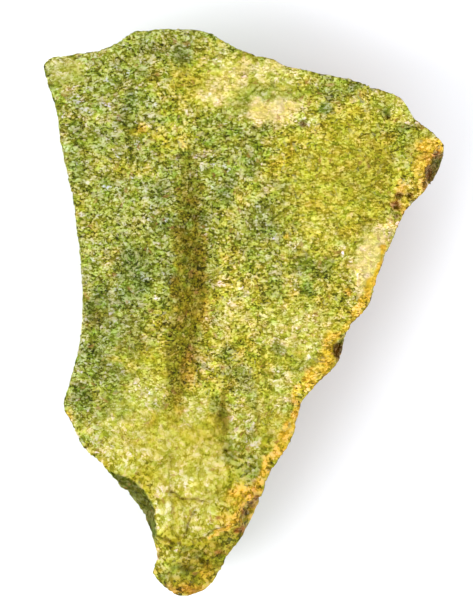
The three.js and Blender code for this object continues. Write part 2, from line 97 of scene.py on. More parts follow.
# Patches of each colour on the broad face, from north to south, in mm: centre x and y, half width,
# half height, strength
PATCHES = {
    "yellow": [
        (-3.2, 39.4, 2.2, 1.8, 0.9),
        (1.6, 36.4, 7.0, 2.2, 0.8),
        (-13.4, 35.8, 1.2, 1.8, 0.6),
        (6.4, 35.2, 6.0, 1.6, 0.7),
        (-5.8, 35.0, 5.4, 4.4, 1.0),
        (-10.2, 32.0, 2.4, 4.2, 0.65),
        (22.4, 31.6, 2.4, 1.0, 0.9),
        (22.6, 30.4, 3.0, 3.0, 0.9),
        (-11.0, 29.2, 1.8, 1.4, 0.7),
        (-7.0, 27.6, 3.0, 2.6, 0.6),
        (-15.6, 27.4, 1.8, 1.0, 0.7),
        (-11.2, 25.6, 2.6, 2.6, 0.9),
        (9.0, 24.0, 7.0, 6.0, 0.8),
        (-21.0, 23.6, 1.6, 0.8, 0.4),
        (16.0, 23.0, 11.0, 11.0, 0.9),
        (-16.6, 21.2, 3.4, 1.0, 0.6),
        (-7.4, 20.6, 2.4, 1.4, 0.5),
        (0.6, 17.4, 1.4, 3.0, 0.6),
        (-24.4, 15.6, 0.9, 2.2, 0.6),
        (13.0, 14.0, 7.0, 5.0, 0.8),
        (-2.0, 13.6, 2.0, 1.8, 0.5),
        (22.4, 13.6, 1.8, 3.6, 0.9),
        (-23.4, 11.8, 1.2, 1.2, 0.4),
        (-2.2, 8.6, 1.8, 2.2, 0.7),
        (-19.4, 8.4, 1.2, 1.6, 0.5),
        (13.6, 7.6, 3.4, 3.6, 0.75),
        (10.0, 2.0, 9.0, 8.0, 0.7),
        (-0.6, 1.6, 4.4, 6.6, 1.0),
        (-12.6, -2.0, 2.0, 2.4, 0.7),
        (15.4, -2.6, 1.0, 1.6, 0.8),
        (3.2, -3.4, 5.0, 4.0, 0.6),
        (-5.0, -4.4, 2.0, 4.4, 0.8),
        (13.8, -5.0, 1.4, 2.4, 0.9),
        (-16.6, -6.0, 3.4, 3.4, 0.8),
        (-5.5, -6.5, 11.0, 6.5, 0.9),
        (6.0, -6.6, 3.0, 2.6, 0.7),
        (5.2, -9.4, 2.6, 4.0, 0.8),
        (-14.4, -11.6, 3.4, 4.4, 0.9),
        (3.4, -11.6, 1.6, 2.6, 0.8),
        (-8.0, -14.0, 4.4, 6.0, 0.9),
        (-12.4, -16.4, 2.0, 3.0, 0.9),
        (4.2, -17.0, 2.4, 4.4, 0.9),
        (-15.0, -20.0, 5.0, 4.0, 0.7),
        (-7.6, -20.0, 5.6, 6.0, 1.0),
        (-1.4, -23.6, 2.6, 2.4, 0.4),
        (-13.4, -25.4, 3.4, 3.6, 0.7),
        (-3.6, -27.6, 4.0, 4.0, 0.8),
        (-9.0, -28.0, 5.0, 6.0, 1.0),
        (-8.0, -31.0, 7.0, 9.0, 1.0),
        (-3.4, -34.4, 3.4, 2.4, 1.0),
    ],
    "pale": [
        (-3.0, 39.2, 2.0, 1.2, 0.4),
        (-28.0, 37.6, 2.0, 1.2, 0.25),
        (-26.6, 37.0, 2.6, 1.2, 0.3),
        (4.8, 36.2, 4.6, 1.4, 0.6),
        (-3.0, 35.8, 2.4, 3.0, 0.6),
        (5.0, 34.8, 3.0, 1.0, 0.5),
        (22.6, 30.6, 2.2, 2.0, 0.5),
        (-23.0, 30.4, 3.4, 2.6, 0.2),
        (-26.6, 30.0, 1.4, 8.0, 0.25),
        (24.4, 29.6, 1.4, 1.8, 0.6),
        (8.2, 29.4, 3.0, 1.4, 0.6),
        (-4.6, 21.6, 2.0, 3.0, 0.2),
        (11.4, 12.8, 2.6, 1.2, 0.25),
        (22.4, 11.6, 1.2, 2.4, 0.5),
        (8.0, 10.4, 1.8, 1.0, 0.7),
        (15.0, 8.6, 1.4, 1.2, 0.7),
        (-19.4, 5.6, 1.2, 5.0, 0.3),
        (-0.6, 3.6, 2.6, 3.0, 0.35),
        (-12.5, 2.4, 0.7, 0.7, 0.8),
        (-23.8, -0.8, 0.8, 2.2, 0.8),
        (8.8, -1.4, 3.0, 2.4, 0.5),
        (-2.0, -1.6, 3.4, 2.0, 0.3),
        (3.0, -1.8, 3.0, 1.8, 0.4),
        (5.0, -3.4, 2.4, 2.0, 0.5),
        (10.4, -5.4, 2.2, 1.6, 0.5),
        (-4.4, -7.0, 2.4, 1.4, 0.3),
        (5.2, -11.0, 1.8, 3.6, 0.4),
        (-14.8, -12.6, 2.2, 3.4, 0.8),
        (-8.0, -13.8, 1.6, 1.4, 0.6),
        (-7.6, -15.4, 1.8, 1.6, 0.6),
        (4.0, -15.4, 1.6, 3.0, 0.2),
        (-0.6, -15.6, 1.6, 5.0, 0.55),
        (-18.4, -16.4, 2.4, 0.7, 0.9),
        (-17.6, -17.2, 2.8, 1.6, 0.5),
        (-24.4, -17.4, 2.4, 2.0, 0.5),
        (-16.4, -18.0, 2.2, 0.8, 0.6),
        (-20.6, -18.4, 3.0, 1.8, 0.5),
        (-18.8, -18.8, 2.2, 1.6, 0.25),
        (-11.0, -20.0, 2.4, 3.4, 0.25),
        (-22.2, -20.4, 2.6, 1.6, 0.4),
        (1.4, -20.8, 1.6, 3.4, 0.3),
        (-18.0, -21.4, 4.0, 2.2, 0.7),
        (-7.0, -23.0, 4.6, 3.6, 0.3),
        (-8.6, -25.6, 3.6, 1.8, 0.8),
        (-12.6, -29.6, 1.4, 3.6, 0.9),
        (-5.4, -29.6, 2.4, 2.8, 0.4),
        (-8.6, -30.2, 1.6, 1.6, 0.8),
        (-7.8, -31.4, 1.8, 2.4, 0.8),
        (-4.4, -31.8, 2.2, 0.9, 0.4),
        # pale stone with a painted highlight below the step at the top of the tip
        (-10.4, -35.9, 1.2, 0.6, 0.9),
        (-12.4, -36.6, 0.9, 2.2, 0.5),
    ],
    "green": [
        (-14.2, 39.4, 2.4, 1.4, 0.4),
        (-9.2, 38.6, 2.0, 1.9, 0.75),
        (-17.6, 36.6, 2.6, 1.8, 0.3),
        (16.2, 34.4, 1.3, 0.9, 0.9),
        (13.2, 33.2, 2.4, 1.5, 0.6),
        (-22.6, 31.6, 2.6, 2.0, 0.3),
        (-17.4, 31.4, 1.7, 1.7, 0.9),
        (12.4, 30.8, 1.3, 0.6, 0.8),
        (21.6, 29.2, 0.7, 0.7, 0.7),
        (-18.4, 28.8, 2.0, 1.2, 0.6),
        (-25.4, 27.6, 1.4, 1.6, 0.7),
        (24.4, 27.6, 1.1, 0.5, 0.5),
        (-4.4, 27.2, 2.0, 2.0, 0.3),
        (-21.4, 26.0, 3.0, 2.4, 0.4),
        (0.8, 25.2, 1.6, 1.6, 0.35),
        (-25.4, 22.4, 1.3, 2.4, 0.6),
        (0.4, 21.6, 1.0, 1.8, 0.4),
        (-9.0, 21.4, 0.8, 1.6, 0.5),
        (-2.4, 19.2, 1.4, 2.4, 0.6),
        (5.8, 19.0, 1.3, 1.0, 0.4),
        (-12.4, 18.8, 2.2, 2.2, 0.6),
        (-15.0, 17.4, 3.4, 2.0, 0.25),
        (-6.6, 13.8, 1.6, 1.2, 0.7),
        (2.6, 13.8, 3.0, 2.0, 0.5),
        (-12.0, 13.2, 1.8, 2.2, 0.7),
        (-15.4, 10.2, 1.8, 1.6, 0.4),
        (-9.2, 9.8, 1.0, 1.4, 0.8),
        (-11.6, 7.0, 1.0, 3.6, 0.65),
        (-16.8, 6.8, 2.4, 3.4, 1.0),
        (9.4, 6.8, 2.2, 1.6, 0.55),
        (-14.6, 6.6, 1.6, 2.6, 0.6),
        (12.4, 6.6, 1.0, 1.8, 0.5),
        (4.4, 4.0, 2.2, 2.4, 0.35),
        (9.6, 3.8, 1.2, 1.2, 0.7),
        (-15.6, 3.6, 1.7, 1.9, 0.9),
        (-17.4, 2.8, 2.6, 2.2, 0.75),
        (-21.6, 0.4, 2.2, 3.0, 1.0),
        (-19.6, -3.4, 3.0, 3.0, 0.6),
        (-16.0, -3.6, 1.6, 3.6, 0.5),
        (5.0, -5.4, 0.9, 1.5, 0.5),
        (-22.4, -6.0, 2.0, 2.8, 0.6),
        (-2.6, -6.0, 1.6, 1.6, 0.4),
        (-1.2, -8.6, 1.5, 1.6, 0.6),
        (-20.0, -9.0, 3.6, 1.6, 0.5),
        (-0.2, -10.6, 1.8, 1.6, 0.5),
        (-24.4, -12.6, 1.8, 1.8, 0.7),
        (-4.8, -13.2, 1.0, 1.6, 0.5),
        (0.6, -13.6, 1.1, 3.6, 0.15),
        (0.6, -18.4, 1.0, 2.0, 0.3),
        (-1.8, -20.8, 1.0, 1.2, 0.4),
        (1.6, -23.8, 2.0, 2.2, 0.5),
        (-8.4, -35.9, 1.2, 0.6, 0.6),
        (-9.0, -38.4, 2.6, 0.8, 0.7),
        (-12.4, -39.0, 0.9, 0.9, 0.6),
    ],
    "tan": [
        (2.6, 36.8, 4.4, 1.2, 0.6),
        (-1.2, 34.6, 1.6, 2.6, 0.5),
        (-2.6, 33.6, 2.8, 1.6, 0.5),
        (-4.0, 32.8, 2.6, 1.6, 0.5),
        (7.0, 30.9, 1.8, 1.0, 0.7),
        (4.4, 30.4, 3.0, 1.7, 1.0),
        (9.2, 30.2, 1.0, 0.8, 0.3),
        (4.4, 29.6, 3.2, 1.9, 0.9),
        (21.6, 12.4, 1.2, 2.4, 0.7),
        (20.8, 12.0, 1.2, 1.6, 0.8),
        (19.8, 9.4, 2.3, 3.2, 1.0),
        (18.4, 5.6, 1.8, 3.0, 1.0),
    ],
    "olive": [
        (-9.0, 36.0, 0.8, 2.6, 0.3),
        (20.6, 23.6, 2.6, 2.4, 0.45),
        (16.0, 20.6, 3.0, 2.0, 0.2),
        (19.0, 18.6, 3.6, 2.2, 0.25),
        (-21.2, -0.4, 1.6, 2.4, 0.5),
        (2.9, -8.4, 0.4, 3.4, 0.5),
        (-10.6, -12.6, 0.8, 2.2, 0.3),
        (-13.2, -14.6, 0.7, 2.4, 0.4),
        (-3.2, -15.4, 0.7, 4.4, 0.9),
        (1.8, -15.6, 0.4, 2.6, 0.4),
        (-2.6, -34.4, 2.2, 1.6, 0.6),
        (-3.6, -35.4, 2.6, 1.6, 0.5),
        (-4.2, -37.4, 1.6, 1.8, 0.6),
        (-7.4, -37.6, 3.6, 2.2, 0.3),
        (-8.4, -39.8, 3.4, 1.4, 0.35),
        (-11.0, -40.2, 1.6, 1.0, 0.5),
        (-9.0, -41.2, 3.4, 1.0, 0.6),
    ],
    "gold": [
        (-15.4, 27.6, 0.8, 0.6, 0.5),
        (28.4, 25.0, 2.2, 1.3, 1.0),
        (29.2, 24.6, 1.2, 0.8, 1.0),
        (7.3, 24.2, 0.4, 0.4, 0.4),
        (28.4, 23.0, 1.4, 2.4, 1.0),
        (26.6, 21.6, 1.3, 2.2, 0.8),
        (24.6, 18.6, 1.8, 1.6, 0.8),
        (26.6, 18.4, 1.2, 1.6, 0.9),
        (22.9, 16.2, 0.9, 1.0, 0.6),
        (24.4, 15.4, 0.9, 1.6, 0.8),
        (6.3, 11.4, 0.4, 0.4, 0.7),
        (-5.8, 10.8, 0.5, 0.6, 0.5),
        (15.8, 3.0, 0.5, 0.5, 0.5),
        (-5.6, -0.6, 0.7, 2.6, 0.3),
        (12.9, -4.6, 1.0, 1.6, 0.8),
        (12.2, -7.6, 1.6, 1.4, 0.6),
        (-8.2, -8.6, 1.1, 2.4, 0.25),
        (9.2, -11.6, 1.6, 1.2, 0.8),
        (-9.6, -14.0, 0.9, 1.4, 0.35),
        (-26.2, -15.2, 0.6, 1.0, 0.6),
        (-13.6, -15.6, 0.5, 0.9, 0.3),
        (-0.4, -27.7, 1.9, 1.5, 1.0),
        (1.6, -30.2, 1.0, 2.0, 0.9),
        (-2.6, -31.2, 1.8, 0.9, 0.4),
        (-5.6, -39.8, 1.2, 1.8, 0.35),
        (-8.6, -41.8, 3.6, 1.1, 0.5),
    ],
    "brown": [
        (-13.6, 36.0, 0.7, 1.4, 0.3),
        (8.8, 28.2, 0.6, 0.5, 0.9),
        (29.2, 23.6, 0.6, 0.6, 0.9),
        (27.4, 23.2, 1.3, 0.6, 0.3),
        (28.6, 21.2, 0.8, 1.8, 0.5),
        (27.8, 21.0, 0.5, 1.4, 0.9),
        (27.2, 18.6, 0.6, 0.9, 0.7),
        (23.3, 17.6, 0.5, 0.4, 0.8),
        (24.9, 17.6, 0.5, 0.4, 0.8),
        (25.6, 16.8, 0.7, 0.4, 0.6),
        (22.8, 16.0, 0.8, 0.8, 0.9),
        (23.0, 14.5, 0.5, 0.3, 0.8),
        (-6.4, 11.0, 1.2, 0.9, 0.4),
        (-12.6, 10.2, 0.4, 0.4, 0.4),
        (-6.8, 6.4, 1.4, 3.4, 0.2),
        (14.3, -5.8, 0.7, 1.3, 1.0),
        (-7.4, -7.6, 1.6, 2.6, 0.3),
        (13.4, -8.4, 0.5, 1.2, 0.4),
        (1.4, -26.4, 0.3, 1.8, 0.4),
        (1.8, -27.8, 0.6, 0.7, 0.9),
        (1.2, -28.9, 0.6, 0.7, 0.9),
        (0.3, -30.1, 0.6, 0.7, 0.8),
        (-3.8, -30.9, 0.5, 0.3, 0.7),
        (-0.2, -32.6, 0.9, 0.7, 0.8),
        (-0.9, -32.8, 0.7, 0.5, 0.9),
        (-3.8, -36.0, 0.7, 0.4, 0.6),
        (-6.4, -36.2, 1.4, 0.4, 0.3),
        (-7.4, -37.9, 2.4, 0.6, 0.3),
        (-8.4, -42.0, 3.4, 0.8, 0.35),
    ],
    "shade": [
        (-9.2, 38.4, 1.0, 0.9, 0.4),
        (16.2, 34.6, 0.8, 0.4, 0.6),
        (13.2, 30.6, 0.5, 0.3, 0.5),
        (23.4, 27.8, 0.5, 0.4, 0.5),
        (24.3, 27.8, 0.9, 0.4, 0.6),
        (2.6, 27.4, 1.4, 0.3, 0.6),
        (3.0, 26.2, 0.4, 0.6, 0.4),
        (-2.6, 18.8, 0.6, 0.9, 0.4),
        (-6.4, 14.2, 1.4, 0.9, 0.6),
        (-9.0, 11.6, 0.8, 1.2, 0.5),
        (8.0, 9.4, 0.7, 0.3, 0.4),
        (-17.6, 8.6, 1.0, 1.0, 0.4),
        (-8.6, 8.0, 0.7, 1.0, 0.3),
        (-14.4, 4.2, 0.7, 0.7, 0.4),
        (9.4, 3.6, 0.6, 0.4, 0.5),
        (-22.6, 0.4, 0.9, 0.9, 0.3),
        (14.0, -5.4, 0.5, 0.9, 0.7),
        (5.0, -5.6, 0.5, 0.7, 0.4),
        (3.0, -7.0, 0.3, 1.0, 0.5),
        (-0.6, -8.8, 0.9, 1.0, 0.4),
        (-25.0, -12.4, 1.4, 0.9, 0.5),
        (-3.1, -14.6, 0.4, 2.6, 0.5),
        (-2.2, -19.6, 0.5, 0.8, 0.5),
        (-9.9, -35.0, 0.9, 0.3, 0.3),
        (-6.8, -36.6, 1.2, 0.5, 0.5),
        (-8.8, -38.4, 0.9, 0.5, 0.5),
        (-5.2, -38.8, 0.7, 0.4, 0.4),
    ],
}

# Where the grains stand out less: the same rows as above
CALM_PATCHES = [
    (1.0, 36.8, 8.0, 2.4, 0.7),
    (-26.4, 36.2, 2.6, 2.0, 0.9),
    (-7.4, 35.8, 4.0, 4.0, 0.4),
    (-4.4, 33.4, 3.6, 3.0, 0.8),
    (2.6, 32.6, 6.4, 3.6, 0.8),
    (3.6, 30.6, 4.4, 2.0, 1.0),
    (22.6, 30.6, 3.0, 2.6, 0.5),
    (26.6, 23.4, 2.6, 3.4, 0.5),
    (14.0, 18.0, 8.0, 12.0, 0.55),
    (19.6, 8.2, 3.0, 6.0, 1.0),
    (-2.0, -1.6, 3.6, 3.0, 0.4),
    (9.0, -4.0, 6.0, 6.0, 0.6),
    (-15.4, -10.0, 4.4, 7.0, 0.6),
    (4.0, -16.0, 4.0, 9.0, 0.5),
    (-16.0, -18.0, 6.0, 8.0, 0.8),
    (-8.0, -24.0, 7.0, 11.0, 1.0),
    (-10.0, -29.0, 3.4, 6.0, 1.0),
    (-8.0, -38.0, 5.0, 4.0, 0.4),
]

# Southward from the first y the stone turns yellow, or its grains grow coarse, over the second length
YELLOW_SOUTH = (-17.0, 8.0)
COARSE_SOUTH = (-11.0, 12.0)

# How strongly some of the masks show
SOUTH_YELLOW = 0.8
RIM_GOLD = 0.8
CRACK_BROWN = 0.4
SCAR_OLIVE = 0.3
SCAR_CALM = 0.6
WALL_GREEN = 0.6
RIND_TO_EAST = 0.07  # how much more rusty rind there is on the walls, for each mm to the east

# The golden skin along the east rim, from north to south: x, y, half width in mm
GOLDEN_RIM = [
    (21.4, 10.0, 0.3),
    (19.8, 6.0, 0.4),
    (18.6, 2.0, 0.9),
    (16.6, -0.9, 0.9),
    (15.0, -3.0, 0.4),
    (13.0, -4.6, 0.9),
    (12.4, -6.4, 1.0),
    (11.2, -9.0, 1.2),
    (8.8, -12.0, 1.3),
    (7.6, -15.2, 0.6),
    (6.4, -18.2, 1.0),
    (5.2, -21.0, 0.9),
    (3.0, -24.0, 0.5),
    (1.8, -26.6, 0.9),
    (-1.2, -30.8, 0.6),
    (-3.0, -32.6, 0.5),
    (-5.0, -33.4, 0.2),
]

# The olive band down the long groove, partly the stone's olive and partly painted shade on its slope that
# faces away from the light: y, its west edge, its east edge, strength
GROOVE_SHADE_BAND = [
    (25.0, -8.6, -7.4, 0.0),
    (22.6, -9.4, -6.8, 0.7),
    (18.0, -10.0, -6.6, 0.8),
    (12.0, -10.4, -6.4, 0.95),
    (8.0, -11.0, -5.4, 1.0),
    (3.0, -11.0, -5.2, 1.0),
    (-2.0, -11.4, -6.2, 1.0),
    (-8.0, -11.8, -7.2, 0.9),
    (-13.0, -11.6, -8.6, 0.4),
    (-17.0, -11.6, -9.8, 0.0),
]
GROOVE_FADE = (1.0, 1.6)  # widths over which its west and east edges fade, in mm

# Bowls struck off the rim, with dark steep sides: centre, radii, strengths of shade and green
RIM_SCARS = [
    (-21.0, -32.2, 8.0, 8.4, 0.7, 0.9),
    (37.2, 20.6, 9.8, 5.6, 0.8, 0.5),
    (20.2, -5.9, 6.9, 2.7, 1.0, 0.3),
    (2.4, -30.6, 2.6, 3.2, 0.25, 0.0),
]
RIDGE_SHADE = 0.14  # share of a bowl's radius that lies in deep shade beside the ridge

# Pits in the face, from north to south: x, y, radius, depth
PITS = [
    (19.0, 31.0, 0.3, 0.3),
    (21.7, 29.1, 0.35, 0.4),
    (8.8, 28.3, 0.6, 0.6),
    (-9.6, 23.4, 0.4, 0.5),
    (24.8, 17.6, 0.5, 0.6),
    (23.3, 17.3, 0.45, 0.6),
    (22.8, 15.8, 0.45, 0.5),
    (22.9, 14.3, 0.35, 0.4),
    (-23.1, -2.7, 0.3, 0.4),
    (-11.1, -3.5, 0.3, 0.4),
    (-2.6, -20.7, 0.3, 0.3),
]
# How much shade is painted in the pits
PIT_SHADE = 0.7

# Cracks, from north to south: points x and y, half width, depth
CRACKS = [
    ([(1.3, 27.7), (2.6, 27.6), (3.4, 27.2), (3.9, 26.4)], 0.24, 0.4),
    ([(-19.3, 20.1), (-17.4, 19.7)], 0.25, 0.3),
    ([(18.2, 14.1), (20.0, 13.8)], 0.25, 0.3),
    ([(-7.2, -7.8), (-5.3, -8.2), (-3.4, -9.1)], 0.28, 0.35),
    ([(-10.9, -27.0), (-10.0, -27.3), (-9.2, -27.9), (-7.6, -27.9), (-6.0, -28.5)], 0.17, 0.4),
    ([(-7.5, -30.0), (-8.3, -31.8), (-8.9, -33.9)], 0.18, 0.2),
    ([(-13.0, -33.8), (-11.6, -34.1), (-10.9, -34.6), (-9.4, -34.9)], 0.22, 0.5),
    ([(-7.3, -34.4), (-5.4, -33.3), (-3.6, -32.3), (-1.6, -31.6)], 0.16, 0.3),
    ([(-7.1, -37.1), (-6.1, -37.4)], 0.26, 0.4),
    ([(-9.7, -38.6), (-7.9, -38.6)], 0.24, 0.4),
]
# How much shade is painted in the cracks
CRACK_SHADE = 0.55

# Ledges: points x and y, drop, and the width over which the low side climbs back. Seen along the
# points, the low side is on the right.
LEDGES = [
    ([(-10.6, -33.6), (-11.0, -28.0), (-11.2, -21.6)], 0.4, 2.0),
    ([(-8.8, -33.8), (-8.9, -31.0), (-9.2, -28.4)], 0.35, 1.8),
    ([(-1.6, -27.0), (-3.6, -27.8), (-5.8, -29.4), (-8.4, -34.0)], 0.5, 2.2),
    ([(-19.6, -24.0), (-16.8, -24.9), (-13.6, -23.8)], 0.5, 2.6),
    ([(-5.4, -28.4), (-10.8, -27.2)], 0.25, 1.5),
    ([(-1.6, -8.2), (-3.0, -12.0), (-2.8, -18.0)], 0.4, 2.0),
]

# Colours in linear light, before the grains lighten and darken them. Later ones cover earlier ones.
BASE_COLOUR = (0.243, 0.256, 0.034, 1)
COLOURS = {
    "yellow": (0.328, 0.294, 0.015, 1),
    "pale": (0.465, 0.430, 0.105, 1),
    "green": (0.110, 0.144, 0.018, 1),
    "tan": (0.520, 0.435, 0.150, 1),
    # olive is also the colour of the painted shade down the long groove
    "olive": (0.172, 0.148, 0.006, 1),
    "rind": (0.250, 0.130, 0.014, 1),
    "gold": (0.500, 0.310, 0.020, 1),
    "brown": (0.180, 0.072, 0.006, 1),
}
SHADE_FACTOR = (0.35, 0.36, 0.18, 1)
# cream is also the colour of the painted glint on a few flecks
CREAM_COLOUR = (0.500, 0.470, 0.230, 1)
RUST_COLOUR = (0.260, 0.115, 0.035, 1)
PAPER_COLOUR = (0.855, 0.875, 0.920, 1)

# The material's grains: how tightly they are packed along x, y and z
EVEN = (1, 1, 1)
WIDE = (0.75, 1.1, 1)
LONG = (0.6, 1.3, 1)
TALL = (1, 0.7, 1)

# Their sizes in mm
FINE_GRAIN = 0.27
COARSE_GRAIN = 0.46
FLECK = 0.50
GRAIN = 0.80
CLOUD = 1.7
BUNDLE = 2.2
FACET = 2.6
BROAD_CLOUD = 5.0

# Widths are shares of a grain or facet, and shares count the grains or flecks that have the thing
# Shade is painted in the gaps between grains: its width here, and below the share of grains that have it
CREVICE_SHADE_WIDTH = 0.16
SEAM_WIDTH = 0.05
SHADED_GAP_SHARE = 0.55
# the share of flecks that carry a painted glint
PAINTED_GLINT_SHARE = 0.06
RUST_SHARE = 0.02
EYE_GAMMA = 2.2  # light rises with this power of the steps of lightness that an eye sees

# The photograph's frame, at the height of the broad face
FRAME_MIDDLE = (-1.1 * MM, 1.1 * MM)
FRAME_HEIGHT = 91.5 * MM
CAMERA_LEVEL = 22 * MM
CAMERA_DISTANCE = 1200 * MM


def mm_points(mesh):
    """Vertex positions in mm, one row to a vertex."""
    flat = np.empty(len(mesh.vertices) * 3)
    mesh.vertices.foreach_get("co", flat)
    return flat.reshape(-1, 3) / MM


def set_points(mesh, points):
    """Moves the vertices to the given points in mm."""
    mesh.vertices.foreach_set("co", (points * MM).ravel())
    mesh.update()


def vertex_normals(mesh):
    flat = np.empty(len(mesh.vertices) * 3)
    mesh.vertex_normals.foreach_get("vector", flat)
    return flat.reshape(-1, 3)


def ease(share):
    """A share held between 0 and 1, which starts and stops gently."""
    share = np.clip(share, 0, 1)
    return share * share * (3 - 2 * share)


def perlin(points, length, seed):
    """Smooth noise of about -1 to 1 at each point, with bumps of the given length in mm."""
    shift = Vector((seed, 2.3 * seed, 4.1 * seed))
    return np.array([noise.noise(Vector(p) / length + shift) for p in points])


def flakes(points, length, seed):
    """Height of small tilted flakes, one to a cell of the given size in mm: about -1 to 1."""
    shift = Vector((seed, 2.3 * seed, 4.1 * seed))
    heights = np.empty(len(points))
    for n, point in enumerate(points):
        place = Vector(point) / length + shift
        centre = noise.voronoi(place)[1][0]
        tilt = noise.cell_vector(centre * 31.7)
        lift = noise.cell(centre * 17.3 + shift)
        away = place - centre
        heights[n] = 0.7 * (2 * lift - 1) + 1.1 * away.dot(tilt * 2 - Vector((1, 1, 1)))
    return heights


def layered(points, layers):
    """Sum of layers of flakes, each with its height, length and seed."""
    return sum(height * flakes(points, length, seed) for height, length, seed in layers)


def wander(points, seeds):
    """Uneven shifts in wide bends with small nicks in them."""
    return sum(size * perlin(points, length, seed) for (size, length), seed in zip(WANDER, seeds))


def ragged(points, shifts, reach):
    """Places x and y moved by the given share of their shifts, for ragged edges."""
    return points[:, :2].T + reach * shifts


def patch_mask(x, y, patches):
    """Strongest of the elliptical patches at each place. They fade out around their edges."""
    mask = np.zeros(len(x))
    for centre_x, centre_y, half_width, half_height, strength in patches:
        away = np.hypot((x - centre_x) / half_width, (y - centre_y) / half_height)
        mask = np.maximum(mask, strength * ease(1.5 - away))
    return mask


def groove_shade_mask(x, y):
    """The olive band down the long groove, partly its colour and partly painted shade."""
    west_fade, east_fade = GROOVE_FADE
    rows = sorted(GROOVE_SHADE_BAND)
    heights = [row[0] for row in rows]
    west, east, strength = (np.interp(y, heights, [row[n] for row in rows]) for n in (1, 2, 3))
    strength = np.where((y < heights[0]) | (y > heights[-1]), 0, strength)
    return strength * ease((x - west) / west_fade + 0.5) * ease((east - x) / east_fade + 0.5)


def nearest_on(x, y, start, end):
    """Where on a line from start to end each place's nearest point is, from 0 to 1, and the gap to it."""
    run_x, run_y = end[0] - start[0], end[1] - start[1]
    share = ((x - start[0]) * run_x + (y - start[1]) * run_y) / (run_x**2 + run_y**2)
    share = np.clip(share, 0, 1)
    return share, np.hypot(x - start[0] - run_x * share, y - start[1] - run_y * share)


def rim_mask(x, y):
    """The golden skin beside the line through the points of GOLDEN_RIM."""
    mask = np.zeros(len(x))
    for start, end in zip(GOLDEN_RIM, GOLDEN_RIM[1:]):
        share, away = nearest_on(x, y, start, end)
        width = start[2] + (end[2] - start[2]) * share
        mask = np.maximum(mask, ease(1.6 - away / width))
    return mask


def line_gap(x, y, points):
    """Distance from each place to a line through the given points."""
    gap = np.full(len(x), np.inf)
    for start, end in zip(points, points[1:]):
        gap = np.minimum(gap, nearest_on(x, y, start, end)[1])
    return gap


def scar_masks(x, y):
    """Shade and green on the bowls struck off the rim."""
    shade = np.zeros(len(x))
    green = np.zeros(len(x))
    for centre_x, centre_y, radius_x, radius_y, painted_shade, tint in RIM_SCARS:
        away = np.hypot((x - centre_x) / radius_x, (y - centre_y) / radius_y)
        inside = ease((1.0 - away) / 0.05)
        beside_ridge = ease((away - 1.0 + 2 * RIDGE_SHADE) / RIDGE_SHADE)
        shade = np.maximum(shade, painted_shade * inside * (0.25 + 0.75 * beside_ridge))
        green = np.maximum(green, tint * inside)
    return shade, green


def ledge_depth(x, y):
    """Depth below the main surface on the low side of the ledges."""
    depth = np.zeros(len(x))
    for points, drop, width in LEDGES:
        side = np.zeros(len(x))
        gap = np.full(len(x), np.inf)
        for (start_x, start_y), (end_x, end_y) in zip(points, points[1:]):
            run_x, run_y = end_x - start_x, end_y - start_y
            length = math.hypot(run_x, run_y)
            along = ((x - start_x) * run_x + (y - start_y) * run_y) / length**2
            across = ((x - start_x) * run_y - (y - start_y) * run_x) / length
            beyond = np.maximum(np.maximum(-along, along - 1), 0) * length
            near = np.hypot(across, beyond)
            side = np.where(near < gap, across, side)
            gap = np.minimum(gap, near)
        depth += drop * ease((side + 0.2) / 0.4) * ease(1 - gap / width)
    return depth


def crack_widths(points):
    """Factors by which the cracks widen and narrow along their way."""
    return np.maximum(0.9 + 1.1 * perlin(points, 1.3, 37), 0.3)


def carve(x, y, widths):
    """Depth of the pits and cracks, and the shade painted in them. The cracks are as wide as widths says.
    """
    depth = np.zeros(len(x))
    painted_shade = np.zeros(len(x))
    for pit_x, pit_y, radius, deep in PITS:
        inside = ease(1.4 - np.hypot(x - pit_x, y - pit_y) / radius)
        depth = np.maximum(depth, deep * inside)
        painted_shade = np.maximum(painted_shade, PIT_SHADE * inside)
    for points, half_width, deep in CRACKS:
        inside = ease(1.3 - line_gap(x, y, points) / (half_width * widths))
        depth = np.maximum(depth, deep * inside)
        painted_shade = np.maximum(painted_shade, CRACK_SHADE * inside)
    return depth, painted_shade


def on_surface(cad, points):
    """Each point, in metres, moved to the nearest place on the CAD stone."""
    corners = [tuple(v.co) for v in cad.data.vertices]
    faces = [tuple(p.vertices) for p in cad.data.polygons]
    tree = BVHTree.FromPolygons(corners, faces)
    return np.array([tree.find_nearest(Vector(p))[0] for p in points])


def surface_mesh(cad):
    """A fine even mesh of the CAD stone, finer still on the broad face."""
    piece = bpy.data.objects.new("nephrite_surface", cad.data.copy())
    bpy.context.scene.collection.objects.link(piece)
    remesh = piece.modifiers.new("Remesh", "REMESH")
    remesh.mode = "VOXEL"
    remesh.voxel_size = VOXEL
    depsgraph = bpy.context.evaluated_depsgraph_get()
    mesh = bpy.data.meshes.new_from_object(piece.evaluated_get(depsgraph))
    piece.modifiers.clear()

    bm = bmesh.new()
    bm.from_mesh(mesh)
    face = [f for f in bm.faces if f.normal.z > FACE_LEVEL and f.calc_center_median().z > FACE_BOTTOM]
    edges = list({edge for f in face for edge in f.edges})
    bmesh.ops.subdivide_edges(bm, edges=edges, cuts=1, use_grid_fill=True)
    bmesh.ops.triangulate(bm, faces=bm.faces)
    bm.to_mesh(mesh)
    bm.free()
    placed = on_surface(cad, mm_points(mesh) * MM)
    mesh.vertices.foreach_set("co", placed.ravel())
    mesh.update()
    piece.data = mesh
    return piece


def evened(mesh, points, passes, share):
    """The points after passes of smoothing, each by the given share of the way to the neighbours."""
    ends = np.empty(len(mesh.edges) * 2, dtype=int)
    mesh.edges.foreach_get("vertices", ends)
    start, end = ends.reshape(-1, 2).T
    total = len(points)
    count = np.bincount(start, minlength=total) + np.bincount(end, minlength=total)
    for step in passes:
        moved = np.empty_like(points)
        for axis in range(3):
            column = points[:, axis]
            around = np.bincount(start, column[end], total) + np.bincount(end, column[start], total)
            moved[:, axis] = column + step * share[:, axis] * (around / count - column)
        points = moved
    return points


